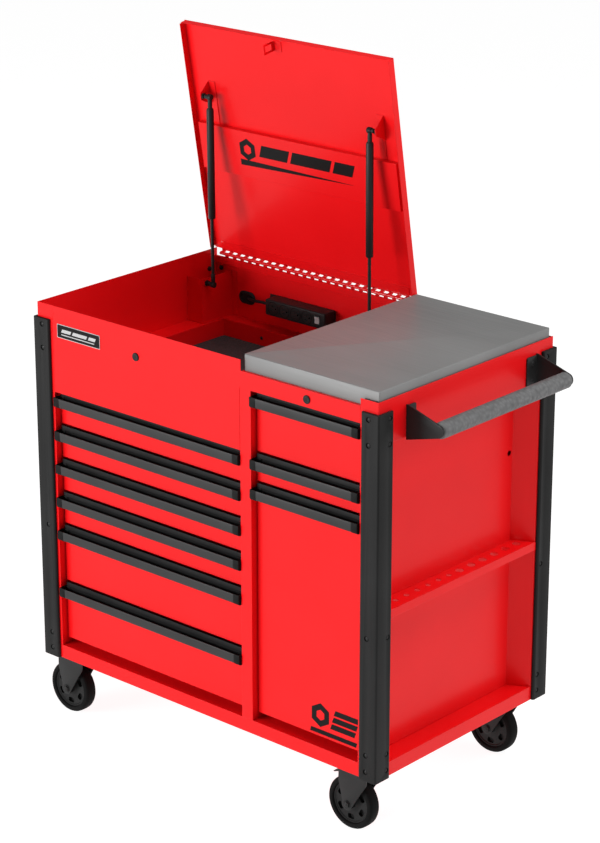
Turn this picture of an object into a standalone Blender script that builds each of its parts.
"""Rolling tool chest with a flip-up lid, a steel worktop, nine drawers and four swivel casters.

Metres, +Z up, floor at z = 0.  X runs along the chest's width, the drawers open towards -Y.
Lengths below are measured from the middle of the cabinet; one empty, "chest", then shifts the
whole model sideways so that the middle of its bounding box stands on the origin.
"""
import bmesh
import bpy
from math import atan2, cos, hypot, pi, radians, sin
from mathutils import Vector

# ---------------------------------------------------------------- driving dimensions
SHEET = 0.0012                # body sheet steel
THIN = 0.0010                 # drawer and lid sheet steel
GAP = 0.0004                  # clearance between touching pieces

HALF_W = 0.5145               # cabinet half width, outside of the sheet
HALF_D = 0.3015               # cabinet half depth
BASE_LOW = 0.160              # underside of the base pan
BASE_TOP = 0.1935             # top face of the base pan
RIM = 1.0465                  # top edge of the lidded box
RIGHT_RIM = 1.038             # top edge of the side panel beside the worktop
BACK_RIM = 1.0272             # top edge of the back panel behind the hinge
HEADER_TOP = 1.021            # top of the front header under the worktop apron

POST_LEFT = 0.1215            # centre post of the front frame
POST_RIGHT = 0.1535
OPENING = 0.4655              # outer edge of both drawer openings
LEFT_TOP = 0.837              # top of the left drawer opening
RIGHT_TOP = 0.982             # top of the right drawer opening
LEFT_ROWS = (0.0833, 0.0833, 0.0833, 0.0833, 0.147, 0.1494)
RIGHT_ROWS = (0.1447, 0.0693, 0.5607)

FRONT_RECESS = 0.017          # drawer fronts stand this far behind the frame
SLIDE_SPACE = 0.013           # room for one drawer slide
DRAWER_BACK = 0.2365
PULL_FRONT = -0.3093
PULL_TALL = 0.024
PULL_DROP = 0.012             # from the top of the cell to the top of the pull
PULL_WALL = 0.0024

HINGE_Y = 0.291
HINGE_Z = 1.0385
LID_OPEN = radians(80.4)      # the lid stands open at rest
LID_LEFT = -0.5164
LID_RIGHT = 0.1262
LID_DEPTH = 0.5945            # hinge pin to front flange
LID_REAR = 0.0085             # hinge pin to the skin's rear edge
LID_TOP = 0.010               # outer face of the lid above the pin, lid closed
LID_FLANGE = 0.0185
KNUCKLE = 0.0127              # pitch of the hinge's knuckles
KNUCKLES = 47
HINGE_LEFT = -0.4924
ROLL_R = 0.0040               # outside of a knuckle
CATCH = (-0.2344, -0.5710)    # x of the lid's catch plate, and its middle from the pin

STRUT_X = (-0.440, 0.057)
STRUT_FOOT = (0.209, 0.9856)  # y and z of the lower ball
STRUT_HEAD = (-0.4207, -0.0164)   # y and z of the upper ball from the hinge pin, lid closed
STRUT_SIDE = 0.022            # from the strut's centre line to its bracket's face

LEDGE = 0.884                 # floor of the lidded box
WELL = (-0.456, 0.080, -0.255, 0.262, 0.838)   # x, x, y, y and floor of the sunken well

STEEL = (0.1275, 0.5095, -0.2925, 0.2945, 1.020, 1.0586)

RECESS_X = 0.465              # face of the recessed side panel
RECESS_Y = 0.228              # half length of the recess at its bottom
RECESS_MOUTH = 0.257          # half length of the recess at its mouth
RECESS_TOP = 0.9395
SHELF_TOP = 0.557
SMALL_HOLES = [-0.2085 + 0.0370 * i for i in range(6)]
LARGE_HOLES = [0.0130 + 0.0414 * i for i in range(6)]
SHELF_HOLE_X = 0.490

GUARD = 0.008                 # thickness of the corner guards
GUARD_WIDE = 0.050
GUARD_TOP = 1.012
GUARD_EDGE = 0.004            # radius of the guards' outer corner
GUARD_BOLTS = (0.182, 0.222, 0.500, 0.941, 0.998)
GUARD_BOLT_X = 0.4935         # bolt column of the front and rear flanges
GUARD_BOLT_Y = 0.2720         # bolt column of the side flanges

CASTER_X = 0.449
CASTER_Y = 0.2527
TRAIL = 0.035
WHEEL_R = 0.0635
WHEEL_WIDE = 0.032
WHEEL_SIDES = 16

GRIP_X = 0.6000               # push handle's tube
GRIP_Z = 0.9710
GRIP_R = 0.019
TIP_R = 0.015                 # rounded end of the handle's side plates
HANDLE_Y = (-0.2115, 0.2445)

STRIP = (-0.3135, -0.1220, 0.2570, 0.2996, 0.925, 0.965)
STRIP_LEAD = (0.278, 0.945)   # y and z where the lead leaves the strip
GROMMET = (-0.4115, 0.9375)

LOCKS = ((-0.1961, 0.9817), (0.3160, 1.0000))

CORD_R = 0.00375              # power lead, from the strip out of the back and down to the floor
CORD_ROUTE = (
    (-0.3259, 0.2780, 0.9450), (-0.3450, 0.2785, 0.9445), (-0.3740, 0.2830, 0.9415), (-0.3990, 0.2940, 0.9385),
    (-0.4120, 0.3100, 0.9360), (-0.4165, 0.3260, 0.9230), (-0.4180, 0.3340, 0.8800), (-0.4180, 0.3370, 0.7800),
    (-0.4165, 0.3390, 0.6000), (-0.4155, 0.3430, 0.4000), (-0.4135, 0.3500, 0.2200), (-0.4110, 0.3555, 0.1300),
    (-0.4020, 0.3598, 0.0740), (-0.3830, 0.3620, 0.0410), (-0.3590, 0.3625, 0.0300),
)
COIL_PLACE = (-0.3330, 0.4000)    # middle of the coil that lies behind the chest
COIL_R = 0.0375
COIL_TURNS = 3
COIL_RISE = 0.0077
CORD_STEP = 0.022

SHIFT_X = (CASTER_X + TRAIL + WHEEL_R - GRIP_X - GRIP_R) / 2

# ---------------------------------------------------------------- materials
COLOURS = {
    "red_paint": ((0.80, 0.012, 0.016), 0.22, 0.0),
    "black_guard": ((0.028, 0.028, 0.029), 0.50, 0.0),
    "black_metal": ((0.030, 0.030, 0.031), 0.42, 0.4),
    "pull_black": ((0.045, 0.045, 0.047), 0.38, 0.5),
    "steel": ((0.46, 0.46, 0.45), 0.30, 1.0),
    "rubber": ((0.020, 0.020, 0.020), 0.75, 0.0),
    "wheel": ((0.032, 0.032, 0.033), 0.55, 0.0),
    "light_grey": ((0.55, 0.55, 0.55), 0.45, 0.0),
}


def make_material(name):
    colour, roughness, metallic = COLOURS[name]
    material = bpy.data.materials.new(name)
    material.use_nodes = True
    shader = material.node_tree.nodes["Principled BSDF"]
    shader.inputs["Base Color"].default_value = (*colour, 1.0)
    shader.inputs["Roughness"].default_value = roughness
    shader.inputs["Metallic"].default_value = metallic
    return material


# ---------------------------------------------------------------- solids
def solid(bm, name="piece"):
    """Turn a bmesh into an object with outward faces."""
    bmesh.ops.recalc_face_normals(bm, faces=bm.faces)
    mesh = bpy.data.meshes.new(name)
    bm.to_mesh(mesh)
    bm.free()
    obj = bpy.data.objects.new(name, mesh)
    bpy.context.scene.collection.objects.link(obj)
    return obj


def prism(outline, axis, low, high):
    """Extrude an outline along an axis; its points hold the other two coordinates in order."""
    def place(u, v, w):
        return {"x": (w, u, v), "y": (u, w, v), "z": (u, v, w)}[axis]
    bm = bmesh.new()
    rings = [[bm.verts.new(place(u, v, w)) for u, v in outline] for w in (low, high)]
    bm.faces.new(rings[0])
    bm.faces.new(rings[1])
    count = len(outline)
    for i in range(count):
        j = (i + 1) % count
        bm.faces.new((rings[0][i], rings[0][j], rings[1][j], rings[1][i]))
    return solid(bm)


def box(x0, x1, y0, y1, z0, z1):
    return prism([(x0, y0), (x1, y0), (x1, y1), (x0, y1)], "z", z0, z1)


def circle(radius, sides, centre=(0, 0), turn=0.0):
    return [(centre[0] + radius * cos(turn + 2 * pi * i / sides),
             centre[1] + radius * sin(turn + 2 * pi * i / sides)) for i in range(sides)]


def arc(radius, centre, start, end, steps):
    angles = [start + (end - start) * i / steps for i in range(steps + 1)]
    return [(centre[0] + radius * cos(a), centre[1] + radius * sin(a)) for a in angles]


def stadium(width, height, centre, steps=6):
    """Outline of a slot with round ends, lying along its first coordinate."""
    radius = height / 2
    reach = width / 2 - radius
    right = arc(radius, (centre[0] + reach, centre[1]), -pi / 2, pi / 2, steps)
    left = arc(radius, (centre[0] - reach, centre[1]), pi / 2, 3 * pi / 2, steps)
    return right + left


def cylinder(radius, axis, low, high, centre=(0, 0), sides=16):
    return prism(circle(radius, sides, centre, pi / sides), axis, low, high)


def lathe(profile, axis, centre, sides, turn=0.0):
    """Turn a closed outline of (radius, height) points about an axis through the centre."""
    bm = bmesh.new()
    rings = []
    for i in range(sides):
        a = turn + 2 * pi * i / sides
        ring = []
        for radius, height in profile:
            u, v = radius * cos(a), radius * sin(a)
            point = {"x": (height, u, v), "y": (u, height, v), "z": (u, v, height)}[axis]
            ring.append(bm.verts.new(Vector(point) + Vector(centre)))
        rings.append(ring)
    count = len(profile)
    for i in range(sides):
        here, there = rings[i], rings[(i + 1) % sides]
        for j in range(count):
            k = (j + 1) % count
            bm.faces.new((here[j], here[k], there[k], there[j]))
    return solid(bm)


def tray(x0, x1, y0, y1, z0, z1, wall):
    """Box of sheet, closed at z0 and open at z1, which may lie above or below z0."""
    bm = bmesh.new()
    inward = wall if z1 > z0 else -wall
    outer = [(x0, y0), (x1, y0), (x1, y1), (x0, y1)]
    inner = [(x0 + wall, y0 + wall), (x1 - wall, y0 + wall), (x1 - wall, y1 - wall), (x0 + wall, y1 - wall)]
    levels = ((outer, z0), (outer, z1), (inner, z1), (inner, z0 + inward))
    rings = [[bm.verts.new((x, y, z)) for x, y in ring] for ring, z in levels]
    bm.faces.new(rings[0])
    bm.faces.new(rings[3])
    for lower, upper in zip(rings, rings[1:]):
        for i in range(4):
            j = (i + 1) % 4
            bm.faces.new((lower[i], lower[j], upper[j], upper[i]))
    return solid(bm)


def boolean(base, tools, operation):
    """Join or cut with each tool in turn, keep the result as the base's mesh, drop the tools."""
    for tool in tools:
        modifier = base.modifiers.new(operation.lower(), "BOOLEAN")
        modifier.operation = operation
        modifier.solver = "EXACT"
        modifier.object = tool
    shown = base.evaluated_get(bpy.context.evaluated_depsgraph_get())
    mesh = bpy.data.meshes.new_from_object(shown)
    base.modifiers.clear()
    base.data = mesh
    for tool in tools:
        bpy.data.objects.remove(tool)
    return base


def fuse(*pieces):
    return boolean(pieces[0], pieces[1:], "UNION")


def carve(base, *tools):
    return boolean(base, tools, "DIFFERENCE")


def node(name, obj, material, parent):
    """Name a finished solid, give it its material and hang it on its parent."""
    obj.name = name
    obj.data.name = name
    bm = bmesh.new()
    bm.from_mesh(obj.data)
    bmesh.ops.remove_doubles(bm, verts=bm.verts, dist=1e-6)
    bmesh.ops.dissolve_degenerate(bm, edges=bm.edges, dist=1e-6)
    bm.to_mesh(obj.data)
    bm.free()
    obj.data.materials.clear()
    obj.data.materials.append(MATERIALS[material])
    obj.data.shade_smooth()
    obj.data.set_sharp_from_angle(angle=radians(38))
    obj.parent = parent
    return obj


def empty(name, location, parent, turn=(0, 0, 0)):
    marker = bpy.data.objects.new(name, None)
    bpy.context.scene.collection.objects.link(marker)
    marker.location = location
    marker.rotation_euler = turn
    marker.parent = parent
    return marker


# ---------------------------------------------------------------- drawer layout
def cells(top, rows):
    """Bottom and top of each drawer cell, from the highest down."""
    layout = []
    for tall in rows:
        layout.append((top - tall, top))
        top -= tall
    return layout


def rail_heights(low, high):
    """Centre heights of one drawer's slides: a tall drawer has two pairs."""
    if high - low > 0.3:
        return (low + 0.09, high - 0.12)
    return ((low + high) / 2 - 0.006,)


def bay_rails(edge, side, layout):
    """Fixed C-channel slide members; edge is the web's outer face, side points to the drawer."""
    pieces = []
    for low, high in layout:
        for z in rail_heights(low, high):
            x0, x1 = sorted((edge, edge + side * SHEET))
            lip0, lip1 = sorted((edge, edge + side * 0.0095))
            pieces.append(box(x0, x1, -0.262, 0.235, z - 0.0172, z + 0.0172))
            pieces.append(box(lip0, lip1, -0.262, 0.235, z - 0.0172, z - 0.0160))
            pieces.append(box(lip0, lip1, -0.262, 0.235, z + 0.0160, z + 0.0172))
    return pieces


# ---------------------------------------------------------------- cabinet
def base_pan(root):
    """Folded base with two cross channels, the caster plates and their swivel races."""
    pieces = [tray(-HALF_W, HALF_W, -HALF_D, HALF_D, BASE_TOP, BASE_LOW, 0.0015)]
    for side in (-1, 1):
        x = side * CASTER_X
        pieces.append(box(x - 0.050, x + 0.050, -0.2960, 0.2960, BASE_LOW, BASE_LOW + 0.003))
        for edge in (x - 0.050, x + 0.047):
            pieces.append(box(edge, edge + 0.003, -0.2960, 0.2960, BASE_LOW, BASE_TOP - 0.0005))
        for y in (-CASTER_Y, CASTER_Y):
            pieces.append(box(x - 0.0475, x + 0.0475, y - 0.0375, y + 0.0375, 0.1565, BASE_LOW + 0.001))
            pieces.append(cylinder(0.026, "z", 0.1500, 0.1575, (x, y), 16))
    node("base_pan", fuse(*pieces), "red_paint", root)


def left_side_panel(root):
    """Plain side with the left part of the front frame and its bay's outer slide members."""
    front, back = -HALF_D, HALF_D
    inside = -HALF_W + SHEET
    low = BASE_TOP + GAP
    pieces = [box(-HALF_W, inside, front, back, low, RIM),
              box(-HALF_W, -OPENING, front, front + SHEET, low, RIM),
              box(-OPENING - SHEET, -OPENING, front, front + 0.033, low, LEFT_TOP + 0.040)]
    for y in (-0.250, 0.205):
        pieces.append(box(-HALF_W + 0.0005, -OPENING - 0.0004, y, y + 0.002, low + 0.003, LEFT_TOP - 0.004))
    pieces += bay_rails(-OPENING - SHEET, 1, cells(LEFT_TOP, LEFT_ROWS))
    node("left_side_panel", fuse(*pieces), "red_paint", root)


def recess_outline(y0, y1, mouth0, mouth1, x0=RECESS_X - SHEET, x1=HALF_W):
    """Outline that spreads from y0..y1 at x0 to mouth0..mouth1 at x1."""
    return [(x0, y0), (x1, mouth0), (x1, mouth1), (x0, y1)]


def right_side_panel(root):
    """Side with a recessed bay, whose ends splay out to two corner posts, under the handle's band."""
    face = HALF_W - SHEET
    low = BASE_TOP + GAP
    deep = RECESS_X - SHEET
    wall = 0.0014
    roof = recess_outline(-RECESS_Y - wall, RECESS_Y + wall, -RECESS_MOUTH - wall, RECESS_MOUTH + wall)
    pieces = [box(face, HALF_W, -HALF_D, -RECESS_MOUTH, low, RIGHT_RIM),
              box(OPENING, HALF_W, -HALF_D, -HALF_D + SHEET, low, RIGHT_RIM),
              box(OPENING, OPENING + SHEET, -HALF_D, -HALF_D + 0.033, low, RIGHT_TOP),
              box(deep, RECESS_X, -RECESS_Y - wall, RECESS_Y + wall, low, RECESS_TOP + SHEET / 2),
              prism(roof, "z", RECESS_TOP, RECESS_TOP + SHEET),
              box(face, HALF_W, -RECESS_MOUTH - wall, RECESS_MOUTH + wall, RECESS_TOP, RIGHT_RIM),
              box(face, HALF_W, RECESS_MOUTH, HALF_D, low, RIGHT_RIM)]
    for side in (-1, 1):
        splay = recess_outline(side * RECESS_Y, side * (RECESS_Y + wall),
                               side * RECESS_MOUTH, side * (RECESS_MOUTH + wall))
        pieces.append(prism(splay, "z", low, RECESS_TOP + SHEET / 2))
    pieces += bay_rails(deep + 0.0002, -1, cells(RIGHT_TOP, RIGHT_ROWS))
    hole = cylinder(0.0065, "x", deep - 0.004, RECESS_X + 0.004, (0.2175, 0.7705), 12)
    node("right_side_panel", carve(fuse(*pieces), hole), "red_paint", root)


def front_frame(root):
    """Front panel of the lidded box, centre post and header, folded from one sheet."""
    y0, y1 = -HALF_D, -HALF_D + SHEET
    low = BASE_TOP + GAP
    left = -OPENING + GAP
    right = OPENING - GAP
    pieces = [box(left, POST_LEFT - 0.001, y0, y1, LEFT_TOP, RIM),
              box(left, POST_LEFT - 0.001, y0, y0 + 0.014, LEFT_TOP, LEFT_TOP + SHEET),
              box(POST_LEFT, POST_RIGHT, y0, y1, low, HEADER_TOP),
              box(POST_LEFT - 0.002, POST_LEFT + 0.0028, y0, y1, RIGHT_TOP, RIM),
              box(POST_LEFT, POST_LEFT + SHEET, y0, y0 + 0.039, low, RIGHT_TOP),
              box(POST_RIGHT - SHEET, POST_RIGHT, y0, y0 + 0.039, low, RIGHT_TOP),
              box(POST_RIGHT - 0.002, right, y0, y1, RIGHT_TOP, HEADER_TOP),
              box(POST_RIGHT - 0.002, right, y0, y0 + 0.014, RIGHT_TOP, RIGHT_TOP + SHEET),
              box(POST_LEFT + 0.004, right, y0, y0 + 0.0085, HEADER_TOP - SHEET, HEADER_TOP)]
    holes = [cylinder(0.0080, "y", y0 - 0.01, y1 + 0.01, place, 16) for place in LOCKS]
    node("front_frame", carve(fuse(*pieces), *holes), "red_paint", root)


def back_panel(root):
    """Back sheet with the hinge's folded rest and the hole for the power lead."""
    y0, y1 = HALF_D - SHEET, HALF_D
    low = BASE_TOP + GAP
    edge = HALF_W - SHEET - GAP
    left, right, face = -0.5120, 0.1230, 0.2954
    pieces = [box(-edge, edge, y0, y1, low, BACK_RIM),
              box(0.1250, edge, y0, y1, BACK_RIM - 0.01, RIGHT_RIM - 0.001),
              box(left, right, face, y1, BACK_RIM - SHEET, BACK_RIM),
              box(left, right, face, face + SHEET, 1.0100, BACK_RIM)]
    hole = prism(stadium(0.0466, 0.0256, GROMMET), "y", y0 - 0.01, y1 + 0.01)
    node("back_panel", carve(fuse(*pieces), hole), "red_paint", root)


def center_partition(root):
    """Upright sheet between the two bays with the inner slide members on both faces."""
    middle = (POST_LEFT + POST_RIGHT) / 2
    y0, y1 = -0.2620 + 0.0015, HALF_D - SHEET - GAP
    low = BASE_TOP + GAP
    pieces = [box(middle - 0.0006, middle + 0.0006, y0, y1, low, 1.018)]
    for y in (-0.250, 0.205):
        pieces.append(box(POST_LEFT - 0.0008, middle + 0.0003, y, y + 0.002, low + 0.003, LEFT_TOP - 0.004))
        pieces.append(box(middle - 0.0003, POST_RIGHT + 0.0008, y, y + 0.002, low + 0.003, RIGHT_TOP - 0.004))
    pieces += bay_rails(POST_LEFT, -1, cells(LEFT_TOP, LEFT_ROWS))
    pieces += bay_rails(POST_RIGHT, 1, cells(RIGHT_TOP, RIGHT_ROWS))
    node("center_partition", fuse(*pieces), "red_paint", root)


def till(root):
    """Floor of the lidded box: a ledge round a sunken well."""
    x0, x1, y0, y1, floor = WELL
    inside = -HALF_W + SHEET + GAP
    wall = (POST_LEFT + POST_RIGHT) / 2 - 0.0006 - GAP
    back = HALF_D - SHEET - GAP
    plate = box(inside, wall, -0.2585, back, LEDGE - SHEET, LEDGE)
    body = box(x0 - SHEET, x1 + SHEET, y0 - SHEET, y1 + SHEET, floor - SHEET, LEDGE - 0.0002)
    well = box(x0, x1, y0, y1, floor, LEDGE + 0.01)
    node("till_pan", carve(fuse(plate, body), well), "red_paint", root)


def steel_top(root):
    x0, x1, y0, y1, low, high = STEEL
    node("steel_top", tray(x0, x1, y0, y1, high, low, SHEET), "steel", root)


def corner_guard(name, side_x, side_y, root):
    """Moulded L-section guard with bevelled edges, a round corner and sunk bolt seats."""
    out_x, out_y = HALF_W + GUARD, HALF_D + GUARD
    in_x, in_y = HALF_W + GAP, HALF_D + GAP
    end_x, end_y = out_x - GUARD_WIDE, out_y - GUARD_WIDE
    bevel = 0.005
    corner = arc(GUARD_EDGE, (out_x - GUARD_EDGE, out_y - GUARD_EDGE), pi / 2, 0.0, 3)
    outline = [(end_x, in_y), (end_x, in_y + 0.002), (end_x + bevel, out_y), *corner,
               (out_x, end_y + bevel), (in_x + 0.002, end_y), (in_x, end_y), (in_x, in_y)]
    outline = [(side_x * x, side_y * y) for x, y in outline]
    guard = prism(outline, "z", BASE_LOW, GUARD_TOP)
    seats = []
    depth_y = sorted((side_y * (out_y - 0.003), side_y * (out_y + 0.004)))
    depth_x = sorted((side_x * (out_x - 0.003), side_x * (out_x + 0.004)))
    for z in GUARD_BOLTS:
        seats.append(cylinder(0.0060, "y", *depth_y, (side_x * GUARD_BOLT_X, z), 8))
        seats.append(cylinder(0.0060, "x", *depth_x, (side_y * GUARD_BOLT_Y, z), 8))
    node(name, carve(guard, *seats), "black_guard", root)


def side_shelf(root):
    """Tool shelf across the recess: a row of holes and a folded front lip."""
    lip = HALF_W + GAP
    inner, outer = RECESS_Y - GAP, RECESS_MOUTH - 2 * GAP
    outline = recess_outline(-inner, inner, -outer, outer, RECESS_X + GAP, lip + SHEET)
    plate = prism(outline, "z", SHELF_TOP - SHEET, SHELF_TOP)
    front = box(lip, lip + SHEET, -0.2585, 0.2585, SHELF_TOP - 0.020, SHELF_TOP)
    holes = []
    for radius, places in ((0.0065, SMALL_HOLES), (0.0100, LARGE_HOLES)):
        for y in places:
            holes.append(cylinder(radius, "z", SHELF_TOP - 0.01, SHELF_TOP + 0.01, (SHELF_HOLE_X, y), 12))
    node("side_shelf", carve(fuse(plate, front), *holes), "red_paint", root)


def push_handle(root):
    """Two side plates with wall flanges and the tube between them in its foam sleeve."""
    wall = HALF_W + GAP
    tip = arc(TIP_R, (GRIP_X, GRIP_Z), radians(62), radians(-76), 8)
    outline = [(wall, 1.012), *tip, (wall, 0.933)]
    front, back = HANDLE_Y
    pieces = [prism(outline, "y", front, front + 0.004),
              prism(outline, "y", back - 0.004, back),
              box(wall, wall + 0.003, front, front + 0.030, 0.935, 1.010),
              box(wall, wall + 0.003, back - 0.040, back, 0.935, 1.010),
              cylinder(GRIP_R, "y", front + 0.002, back - 0.002, (GRIP_X, GRIP_Z), 20)]
    node("push_handle", fuse(*pieces), "black_metal", root)


# ---------------------------------------------------------------- lid and its hinge
def knuckle_spans(first):
    """X spans of every second knuckle, starting at the first or the second one."""
    spans = []
    for i in range(first, KNUCKLES, 2):
        left = HINGE_LEFT + i * KNUCKLE
        spans.append((left + GAP / 2, left + KNUCKLE - GAP / 2))
    return spans


def hinge_leaf_chest(root):
    """Fixed leaf, notched between its knuckles, and the pin that is staked in them."""
    marker = empty("hinge_axis", (0, HINGE_Y, HINGE_Z), root)
    right = HINGE_LEFT + KNUCKLES * KNUCKLE
    inner = ROLL_R - SHEET
    outline = [(ROLL_R, -0.0095), *arc(ROLL_R, (0, 0), 0, radians(262), 7), (inner, -0.0045), (inner, -0.0095)]
    pieces = [box(HINGE_LEFT, right, inner, ROLL_R, -0.0265, -0.0085)]
    pieces += [prism(outline, "x", *span) for span in knuckle_spans(1)]
    pieces.append(cylinder(0.0013, "x", HINGE_LEFT + 0.001, right - 0.001, (0, 0), 8))
    node("hinge_leaf_chest", fuse(*pieces), "red_paint", marker)


def hinge_leaf_lid(pivot):
    """Moving leaf: knuckles round the pin, a strap up from each and a flat under the lid's skin."""
    right = HINGE_LEFT + KNUCKLES * KNUCKLE
    under = LID_TOP - THIN - GAP
    roll = ROLL_R - 0.0002
    outline = [*arc(roll, (0, 0), pi, 2 * pi, 5), (0.0030, 0.0028), (0.0, 0.0044), (-0.0026, 0.0044),
               (-0.0026, under), (-0.0078, under), (-0.0078, under - THIN), (-roll, under - THIN)]
    pieces = [box(HINGE_LEFT, right, -0.0290, -0.0055, under - THIN, under)]
    pieces += [prism(outline, "x", *span) for span in knuckle_spans(0)]
    leaf = fuse(*pieces)
    bore = cylinder(0.0018, "x", HINGE_LEFT - 0.01, right + 0.01, (0, 0), 8)
    node("hinge_leaf_lid", carve(leaf, bore), "red_paint", pivot)


def lid_panel(pivot):
    """Lid skin with three flanges, open at the front corners, and a catch plate with a window."""
    low, high = LID_TOP - LID_FLANGE, LID_TOP
    front = -LID_DEPTH
    side_end = front + 0.004
    rear = -LID_REAR - 0.004
    x, y = CATCH
    foot = (high - THIN - SHEET, high - THIN + 0.0002)
    skin = fuse(box(LID_LEFT, LID_RIGHT, front, -LID_REAR, high - THIN, high),
                box(LID_LEFT + 0.004, LID_RIGHT - 0.004, front, front + THIN, low, high),
                box(LID_LEFT, LID_LEFT + THIN, side_end, rear, low, high),
                box(LID_RIGHT - THIN, LID_RIGHT, side_end, rear, low, high),
                box(x - 0.0008, x + 0.0234, y - 0.012, y + 0.012, *foot),
                box(x - 0.0008, x + 0.0008, y - 0.012, y + 0.012, -0.0265, foot[1]))
    window = box(x - 0.01, x + 0.01, y - 0.0075, y + 0.0075, -0.0215, -0.0010)
    node("lid_panel", carve(skin, window), "red_paint", pivot)


def lid_brace(pivot):
    """Raised stiffening band across the lid, with the two ears that hold the struts' studs."""
    under = LID_TOP - THIN - GAP
    pieces = [tray(-0.5040, 0.1138, -0.3430, -0.2260, under - 0.012, under, SHEET)]
    head_y, head_z = STRUT_HEAD
    for x, side in zip(STRUT_X, (-1, 1)):
        face = x + side * STRUT_SIDE
        strap = sorted((face, face - side * 0.020))
        ear = sorted((face, face + side * 0.0016))
        outline = [(head_y - 0.030, under), (head_y + 0.030, under),
                   (head_y + 0.008, head_z - 0.008), (head_y - 0.008, head_z - 0.008)]
        stud = sorted((face + side * 0.0005, x + side * 0.0065))
        ball = sorted((x + side * 0.0135, x + side * 0.0065))
        pieces.append(box(*strap, head_y - 0.030, -0.3425, under - SHEET, under))
        pieces.append(prism(outline, "x", *ear))
        pieces.append(cylinder(0.0030, "x", *stud, STRUT_HEAD, 10))
        pieces.append(cylinder(0.0052, "x", *ball, STRUT_HEAD, 10))
    node("lid_brace", fuse(*pieces), "red_paint", pivot)


def strut_post(name, x, side, root):
    """Folded post in the box's rear corner with the stud for the strut's lower ball."""
    foot_y, foot_z = STRUT_FOOT
    face = x + side * STRUT_SIDE
    outer = -HALF_W + SHEET + GAP if side < 0 else (POST_LEFT + POST_RIGHT) / 2 - 0.0006 - GAP
    low = LEDGE + GAP
    back = HALF_D - SHEET - GAP
    front, top = 0.193, 0.9975
    shell = box(*sorted((face, outer)), front, back, low, top)
    inside = sorted((face + side * SHEET, outer + side * 0.01))
    hollow = box(*inside, front + SHEET, back + 0.01, low - 0.01, top + 0.01)
    post = carve(shell, hollow)
    stud = sorted((face + side * 0.0005, x + side * 0.0065))
    ball = sorted((x + side * 0.0135, x + side * 0.0065))
    flange = sorted((face + side * 0.0006, face - side * 0.0165))
    post = fuse(post,
                box(*flange, back - SHEET, back, low, top),
                cylinder(0.0030, "x", *stud, (foot_y, foot_z), 10),
                cylinder(0.0052, "x", *ball, (foot_y, foot_z), 10))
    node(name, post, "red_paint", root)


# ---------------------------------------------------------------- gas struts
def turned(y, z, angle):
    return (y * cos(angle) - z * sin(angle), y * sin(angle) + z * cos(angle))


def strut_pose(lid_angle):
    """Length of the strut and its lean from upright, about +X, for a lid angle from closed."""
    y, z = turned(*STRUT_HEAD, -lid_angle)
    reach_y = HINGE_Y + y - STRUT_FOOT[0]
    reach_z = HINGE_Z + z - STRUT_FOOT[1]
    return hypot(reach_y, reach_z), atan2(-reach_y, reach_z)


def gas_strut(name, x, root):
    """Rod on the chest's stud and cylinder on the lid's, drawn upright from the lower ball."""
    length, lean = strut_pose(LID_OPEN)
    marker = empty(name + "_foot", (x, *STRUT_FOOT), root, (lean, 0, 0))
    tube_low, tube_high = 0.167, length - 0.027
    rod = fuse(cylinder(0.0040, "z", 0.004, tube_low + 0.014, sides=12),
               cylinder(0.0055, "z", 0.003, 0.028, sides=12),
               cylinder(0.0070, "z", tube_low + 0.010, tube_low + 0.019, sides=12),
               cylinder(0.0075, "x", -0.0060, 0.0060, sides=12))
    node(name + "_rod", rod, "black_metal", marker)
    tube = cylinder(0.0090, "z", tube_low, tube_high, sides=16)
    tube = carve(tube,
                 cylinder(0.0078, "z", tube_low + 0.008, tube_high - 0.010, sides=16),
                 cylinder(0.0046, "z", tube_low - 0.01, tube_low + 0.02, sides=12))
    tube = fuse(tube,
                cylinder(0.0055, "z", tube_high - 0.005, length - 0.003, sides=12),
                cylinder(0.0075, "x", -0.0060, 0.0060, (0, length), sides=12))
    node(name + "_cylinder", tube, "black_metal", marker)


# ---------------------------------------------------------------- drawers
def drawer(name, opening, space, low, high, root):
    """Front, open box and moving slide members of one drawer, and its full-width pull."""
    left, right = opening
    face = -HALF_D + FRONT_RECESS
    inner_left, inner_right = left + space[0], right - space[1]
    tray_low, tray_high = low + 0.006, high - 0.012
    pieces = [tray(inner_left, inner_right, face + 0.0008, DRAWER_BACK, tray_low, tray_high, THIN),
              box(left + 0.003, right - 0.003, face, face + SHEET, low + 0.003, high - 0.005)]
    for z in rail_heights(low, high):
        for wall, side in ((inner_left, -1), (inner_right, 1)):
            x0, x1 = sorted((wall - side * 0.0004, wall + side * 0.0090))
            pieces.append(box(x0, x1, -0.258, DRAWER_BACK, z - 0.0115, z + 0.0115))
    node(name, fuse(*pieces), "red_paint", root)
    drawer_pull(name + "_pull", left + 0.0015, right - 0.0015, high, face - GAP, root)


def drawer_pull(name, left, right, cell_top, back, root):
    """U-section pull with a flange up the drawer's front, closed by an end cap at each side."""
    top = cell_top - PULL_DROP
    front, low, wall = PULL_FRONT, top - PULL_TALL, PULL_WALL
    flange = cell_top - 0.007
    channel = [(front, top), (front, low + 0.005), (front + 0.005, low), (back, low), (back, flange),
               (back - wall, flange), (back - wall, low + wall), (front + 0.006, low + wall),
               (front + wall, low + 0.0062), (front + wall, top)]
    cap = [(front, top + 0.0006), (front, low + 0.0045), (front + 0.005, low - 0.0006),
           (back, low - 0.0006), (back, top + 0.0006)]
    pull = fuse(prism(channel, "x", left + 0.003, right - 0.003),
                prism(cap, "x", left, left + 0.010),
                prism(cap, "x", right - 0.010, right))
    node(name, pull, "pull_black", root)


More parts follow.
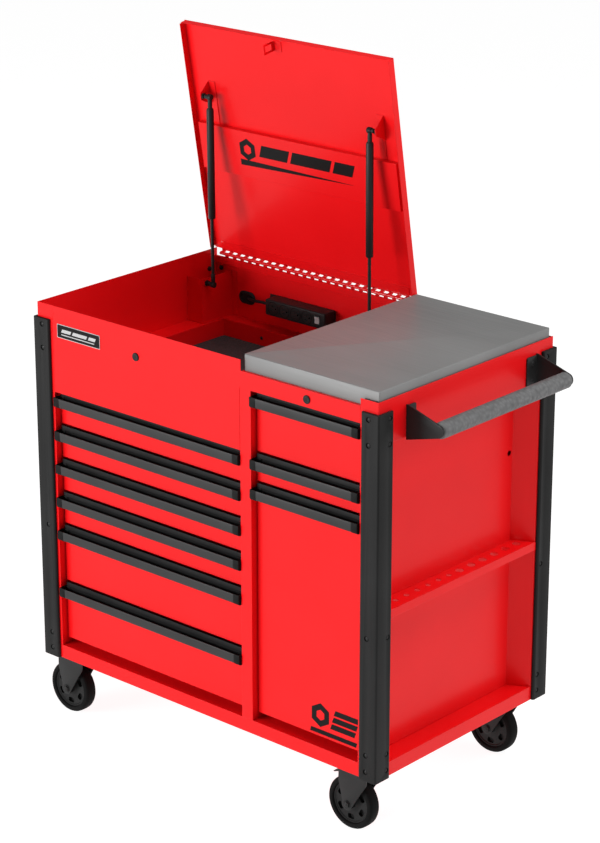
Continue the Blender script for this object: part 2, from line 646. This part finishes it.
def drawers(root):
    left_opening = (-OPENING, POST_LEFT)
    right_opening = (POST_RIGHT, OPENING)
    left_space = (SLIDE_SPACE, SLIDE_SPACE)
    right_space = (SLIDE_SPACE, OPENING - RECESS_X + SHEET + SLIDE_SPACE)
    for i, (low, high) in enumerate(cells(LEFT_TOP, LEFT_ROWS), 1):
        drawer(f"drawer_left_{i}", left_opening, left_space, low, high, root)
    for i, (low, high) in enumerate(cells(RIGHT_TOP, RIGHT_ROWS), 1):
        drawer(f"drawer_right_{i}", right_opening, right_space, low, high, root)


# ---------------------------------------------------------------- small moving parts
def lock_cylinder(name, place, root):
    x, z = place
    marker = empty(name + "_axis", (x, -HALF_D, z), root)
    body = fuse(cylinder(0.0075, "y", -0.0010, 0.0180, sides=16),
                cylinder(0.0095, "y", -0.0030, -GAP, sides=16))
    keyway = box(-0.0008, 0.0008, -0.01, -0.0015, -0.004, 0.004)
    node(name, carve(body, keyway), "black_metal", marker)


def power_strip(root):
    """Outlet strip on the back wall with a slotted ear, its lead's strain relief and a rocker."""
    x0, x1, y0, y1, low, high = STRIP
    ear = box(x0 - 0.020, x0 + 0.001, y1 - 0.0025, y1, low + 0.001, high - 0.001)
    body = fuse(box(x0, x1, y0, y1, low, high), ear,
                cylinder(0.0052, "x", x0 - 0.012, x0 + 0.002, STRIP_LEAD, 12))
    slot = box(x0 - 0.013, x0 - 0.007, y1 - 0.01, y1 + 0.01, low + 0.011, high - 0.011)
    middle = (low + high) / 2
    seat = box(x1 - 0.0325, x1 - 0.0175, y0 - 0.01, y0 + 0.010, middle - 0.0105, middle + 0.0105)
    node("power_strip", carve(body, slot, seat), "black_metal", root)
    marker = empty("rocker_axis", (x1 - 0.025, y0 + 0.005, middle), root)
    rocker = prism([(-0.0070, 0.0086), (-0.0050, 0.0), (-0.0055, -0.0086), (0.0035, -0.0075), (0.0035, 0.0075)],
                   "x", -0.0071, 0.0071)
    node("rocker_switch", rocker, "light_grey", marker)


def cable_grommet(root):
    """Oval rubber grommet that clips into the back panel's hole."""
    y0, y1 = HALF_D - SHEET, HALF_D
    ring = fuse(prism(stadium(0.0458, 0.0248, GROMMET), "y", y0 - 0.003, y1 + 0.003),
                prism(stadium(0.054, 0.033, GROMMET), "y", y0 - 0.0035, y0 - GAP),
                prism(stadium(0.054, 0.033, GROMMET), "y", y1 + GAP, y1 + 0.0032))
    hole = prism(stadium(0.040, 0.019, GROMMET), "y", y0 - 0.02, y1 + 0.02)
    node("cable_grommet", carve(ring, hole), "rubber", root)


# ---------------------------------------------------------------- power lead
def smooth_route(points, step):
    """Points every step along a Catmull-Rom curve through the given ones."""
    points = [Vector(p) for p in points]
    padded = [2 * points[0] - points[1], *points, 2 * points[-1] - points[-2]]
    fine = []
    for a, b, c, d in zip(padded, padded[1:], padded[2:], padded[3:]):
        for i in range(24):
            t = i / 24
            fine.append(0.5 * (2 * b + (c - a) * t + (2 * a - 5 * b + 4 * c - d) * t * t
                               + (3 * b - a - 3 * c + d) * t ** 3))
    fine.append(points[-1])
    total = sum((q - p).length for p, q in zip(fine, fine[1:]))
    count = round(total / step)
    chosen, run, target = [fine[0]], 0.0, total / count
    for p, q in zip(fine, fine[1:]):
        piece = (q - p).length
        while run + piece >= target - 1e-9 and len(chosen) < count:
            chosen.append(p.lerp(q, (target - run) / piece))
            target += total / count
        run += piece
    chosen.append(fine[-1])
    return chosen


def power_cord(root):
    route = smooth_route(CORD_ROUTE, CORD_STEP)
    curve = bpy.data.curves.new("power_cord", "CURVE")
    curve.dimensions = "3D"
    curve.bevel_depth = CORD_R
    curve.bevel_resolution = 2
    curve.use_fill_caps = True
    spline = curve.splines.new("POLY")
    spline.points.add(len(route) - 1)
    for point, place in zip(spline.points, route):
        point.co = (*place, 1.0)
    cord = bpy.data.objects.new("power_cord", curve)
    bpy.context.scene.collection.objects.link(cord)
    curve.materials.append(MATERIALS["rubber"])
    cord.parent = root


def cord_coil(root):
    """Outer shape of the lead's spare turns, stacked flat on the floor."""
    inner, outer = COIL_R - CORD_R - GAP, COIL_R + CORD_R + GAP
    top = COIL_TURNS * COIL_RISE + 2 * CORD_R + 2 * GAP
    profile = [(inner, GAP), (outer, GAP), (outer, top), (inner, top)]
    node("cord_coil", lathe(profile, "z", (*COIL_PLACE, 0), 24), "rubber", root)


def cord_plug(root):
    """Moulded plug lying on the floor at the lead's end, with two blades and an earth pin."""
    x, y, z = COIL_PLACE[0] + 0.0350, COIL_PLACE[1] - COIL_R, 0.0122
    side = [(0.0004, -0.006), (0.0180, -0.0120), (0.0400, -0.0120),
            (0.0400, 0.0120), (0.0180, 0.0120), (0.0004, 0.006)]
    marker = empty("plug_place", (x, y, z), root)
    body = prism(side, "y", -0.013, 0.013)
    blades = [box(0.039, 0.056, s * 0.0064 - 0.0008, s * 0.0064 + 0.0008, 0.0005, 0.0068) for s in (-1, 1)]
    pin = cylinder(0.0024, "x", 0.039, 0.060, (0, -0.0058), 8)
    node("cord_plug", fuse(body, *blades, pin), "rubber", marker)


# ---------------------------------------------------------------- casters
def caster(place, x, y, braked, root):
    """Swivel fork on its race, wheel on the fork's axle and, on two of them, a brake pedal."""
    marker = empty(f"swivel_{place}", (x, y, 0), root)
    inner, outer = 0.0215, 0.0245
    lobe = arc(0.0145, (-TRAIL, WHEEL_R), pi, 2 * pi, 6)
    plate = [(-0.062, 0.1455), (-0.062, 0.1180), (-TRAIL - 0.0145, 0.0600), *lobe,
             (-TRAIL + 0.0145, 0.0660), (0.0200, 0.1280), (0.0220, 0.1455)]
    pieces = [cylinder(0.027, "z", 0.1450, 0.1496, sides=16),
              box(-0.062, 0.022, -outer, outer, 0.1415, 0.1455),
              prism(plate, "y", -outer, -inner),
              prism(plate, "y", inner, outer),
              cylinder(0.0050, "y", -0.0285, 0.0285, (-TRAIL, WHEEL_R), 12),
              cylinder(0.0085, "y", -0.0290, -0.0240, (-TRAIL, WHEEL_R), 6),
              cylinder(0.0085, "y", 0.0240, 0.0290, (-TRAIL, WHEEL_R), 6)]
    node(f"caster_fork_{place}", fuse(*pieces), "black_metal", marker)

    axle = empty(f"axle_{place}", (-TRAIL, 0, WHEEL_R), marker)
    flat = 1 / cos(pi / WHEEL_SIDES)
    half = WHEEL_WIDE / 2
    rim = [(0.0058, 0.0205), (0.0130, 0.0205), (0.0150, 0.0120), (0.0455, 0.0085), (0.0485, half),
           (0.0595, half - 0.0010), (WHEEL_R, 0.0110)]
    profile = rim + [(radius, -height) for radius, height in reversed(rim)]
    profile = [(radius * flat, height) for radius, height in profile]
    wheel = lathe(profile, "y", (0, 0, 0), WHEEL_SIDES, pi / WHEEL_SIDES)
    node(f"caster_wheel_{place}", wheel, "wheel", axle)

    if braked:
        pedal = empty(f"brake_axis_{place}", (-0.047, 0, 0.1360), marker)
        side = [(0.0040, 0.0028), (0.0000, -0.0030), (-0.0340, -0.0110), (-0.0380, -0.0090), (-0.0150, 0.0028)]
        node(f"brake_pedal_{place}", prism(side, "y", -0.015, 0.015), "black_metal", pedal)


# ---------------------------------------------------------------- build
for old in list(bpy.data.objects):
    bpy.data.objects.remove(old)

MATERIALS = {name: make_material(name) for name in COLOURS}

chest = empty("chest", (SHIFT_X, 0, 0), None)
base_pan(chest)
left_side_panel(chest)
right_side_panel(chest)
front_frame(chest)
back_panel(chest)
center_partition(chest)
till(chest)
steel_top(chest)
for end_y, sign_y in (("front", -1), ("rear", 1)):
    for end_x, sign_x in (("left", -1), ("right", 1)):
        corner_guard(f"corner_guard_{end_y}_{end_x}", sign_x, sign_y, chest)
        caster(f"{end_y}_{end_x}", sign_x * CASTER_X, sign_y * CASTER_Y, sign_x > 0, chest)
side_shelf(chest)
push_handle(chest)

hinge_leaf_chest(chest)
lid_pivot = empty("lid_pivot", (0, HINGE_Y, HINGE_Z), chest, (-LID_OPEN, 0, 0))
hinge_leaf_lid(lid_pivot)
lid_panel(lid_pivot)
lid_brace(lid_pivot)
for end, strut_x, sign in (("left", STRUT_X[0], -1), ("right", STRUT_X[1], 1)):
    strut_post("strut_post_" + end, strut_x, sign, chest)
    gas_strut("strut_" + end, strut_x, chest)

drawers(chest)
lock_cylinder("lock_lid", LOCKS[0], chest)
lock_cylinder("lock_drawers", LOCKS[1], chest)
power_strip(chest)
cable_grommet(chest)
power_cord(chest)
cord_coil(chest)
cord_plug(chest)
